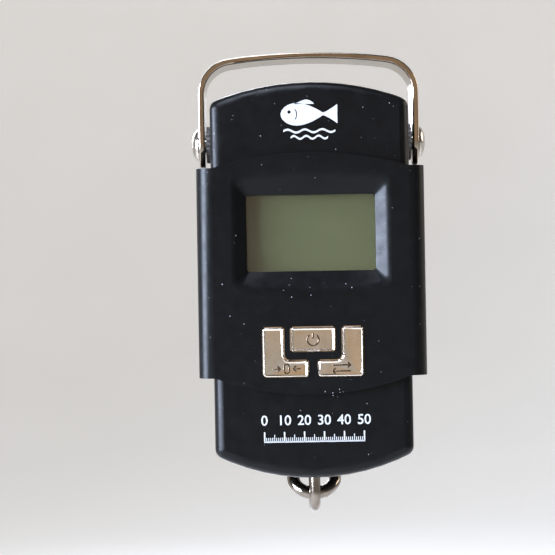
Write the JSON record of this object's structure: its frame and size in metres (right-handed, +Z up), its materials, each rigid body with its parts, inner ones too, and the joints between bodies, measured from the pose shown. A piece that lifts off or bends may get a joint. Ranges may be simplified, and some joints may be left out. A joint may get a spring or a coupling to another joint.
{
  "type": "digital fish scale",
  "caption": "Hand-held digital hanging scale: a black plastic case with a display and three keys, hung from a steel strap handle, with a folding wire hook below.",
  "frame": {"origin": "underside of the handle's arch, at its middle, where the scale is held", "axes": "+Z up along the line of pull, the display faces -Y, +X to the right seen from the front"},
  "size_m": [0.06, 0.0452, 0.1175],
  "materials": {
    "battery_cover": "fine moulded texture, black",
    "battery_left": "plain printed sleeve",
    "battery_right": "plain printed sleeve",
    "battery_spring_left": "nickelled spring wire",
    "battery_spring_right": "nickelled spring wire",
    "battery_wire_black": "PVC insulation",
    "battery_wire_red": "PVC insulation",
    "board_screw_low_left": "zinc plated",
    "board_screw_low_right": "zinc plated",
    "board_screw_top_left": "zinc plated",
    "board_screw_top_right": "zinc plated",
    "case_screw_low_left": "zinc plated",
    "case_screw_low_right": "zinc plated",
    "case_screw_top_left": "zinc plated",
    "case_screw_top_right": "zinc plated",
    "cell_screw_lower_left": "zinc plated",
    "cell_screw_lower_right": "zinc plated",
    "cell_screw_upper_left": "zinc plated",
    "cell_screw_upper_right": "zinc plated",
    "cell_wire_green": "PVC insulation",
    "cell_wire_white": "PVC insulation",
    "circuit_board": "green solder mask",
    "contact_bridge": "sprung brass",
    "contact_plate_left": "sprung brass",
    "contact_plate_right": "sprung brass",
    "contact_strip_lower": "silicone",
    "contact_strip_upper": "silicone",
    "controller_chip": "black epoxy",
    "converter_chip": "black epoxy",
    "cross_bar": "zinc plated",
    "crystal_can": "zinc plated",
    "display_bezel": "fine moulded texture, black",
    "display_lens": "clear polished",
    "eye_block": "zinc plated",
    "eye_nut_front": "zinc plated",
    "eye_nut_rear": "zinc plated",
    "filter_capacitor": "milled",
    "front_shell": "fine moulded texture, black",
    "handle_strap": "bright nickel plate",
    "hook": "bright nickel plate",
    "keypad_mat": "silicone",
    "lcd_frame": "white moulded",
    "lcd_panel": "olive reflective display glass",
    "lens_gasket": "silicone",
    "load_cell": "milled",
    "load_eye": "bright nickel plate",
    "pivot_screw_left": "bright plated dome",
    "pivot_screw_right": "bright plated dome",
    "pivot_washer_left": "grey nylon, ridged",
    "pivot_washer_right": "grey nylon, ridged",
    "power_key": "chromed plastic",
    "rear_shell": "fine moulded texture, black",
    "strain_gauge_left": "silicone",
    "strain_gauge_right": "silicone",
    "tare_key": "chromed plastic",
    "unit_key": "chromed plastic"
  },
  "bodies": {
    "handle": {"handle_strap": "handle_strap"},
    "case": {"battery_left": "battery_left", "battery_right": "battery_right", "battery_spring_left": "battery_spring_left", "battery_spring_right": "battery_spring_right", "battery_wire_black": "battery_wire_black", "battery_wire_red": "battery_wire_red", "board_screw_low_left": "board_screw_low_left", "board_screw_low_right": "board_screw_low_right", "board_screw_top_left": "board_screw_top_left", "board_screw_top_right": "board_screw_top_right", "case_screw_low_left": "case_screw_low_left", "case_screw_low_right": "case_screw_low_right", "case_screw_top_left": "case_screw_top_left", "case_screw_top_right": "case_screw_top_right", "cell_screw_lower_left": "cell_screw_lower_left", "cell_screw_lower_right": "cell_screw_lower_right", "cell_screw_upper_left": "cell_screw_upper_left", "cell_screw_upper_right": "cell_screw_upper_right", "cell_wire_green": "cell_wire_green", "cell_wire_white": "cell_wire_white", "circuit_board": "circuit_board", "contact_bridge": "contact_bridge", "contact_plate_left": "contact_plate_left", "contact_plate_right": "contact_plate_right", "contact_strip_lower": "contact_strip_lower", "contact_strip_upper": "contact_strip_upper", "controller_chip": "controller_chip", "converter_chip": "converter_chip", "cross_bar": "cross_bar", "crystal_can": "crystal_can", "display_bezel": "display_bezel", "display_lens": "display_lens", "eye_block": "eye_block", "eye_nut_front": "eye_nut_front", "eye_nut_rear": "eye_nut_rear", "filter_capacitor": "filter_capacitor", "front_shell": "front_shell", "keypad_mat": "keypad_mat", "lcd_frame": "lcd_frame", "lcd_panel": "lcd_panel", "lens_gasket": "lens_gasket", "load_cell": "load_cell", "load_eye": "load_eye", "pivot_screw_left": "pivot_screw_left", "pivot_screw_right": "pivot_screw_right", "pivot_washer_left": "pivot_washer_left", "pivot_washer_right": "pivot_washer_right", "rear_shell": "rear_shell", "strain_gauge_left": "strain_gauge_left", "strain_gauge_right": "strain_gauge_right"},
    "power_key": {"power_key": "power_key"},
    "tare_key": {"tare_key": "tare_key"},
    "unit_key": {"unit_key": "unit_key"},
    "battery_cover": {"battery_cover": "battery_cover"},
    "hook": {"hook": "hook"}
  },
  "joints": [
    {"name": "handle_swing", "type": "hinge", "parent": "handle", "child": "case", "pos_m": [0, 0, -0.0212], "axis": [1, 0, 0], "range_deg": [-90, 90]},
    {"name": "power_press", "type": "slide", "parent": "case", "child": "power_key", "axis": [0, 1, 0], "range_m": [0, 0.0005], "stiffness_N_per_m": 400},
    {"name": "tare_press", "type": "slide", "parent": "case", "child": "tare_key", "axis": [0, 1, 0], "range_m": [0, 0.0005], "stiffness_N_per_m": 400},
    {"name": "unit_press", "type": "slide", "parent": "case", "child": "unit_key", "axis": [0, 1, 0], "range_m": [0, 0.0005], "stiffness_N_per_m": 400},
    {"name": "cover_lift", "type": "slide", "parent": "case", "child": "battery_cover", "axis": [0, 1, 0], "range_m": [0, 0.03]},
    {"name": "hook_swing", "type": "hinge", "parent": "case", "child": "hook", "pos_m": [0, 0, -0.1113], "axis": [1, 0, 0], "range_deg": [-230, 0]}
  ]
}
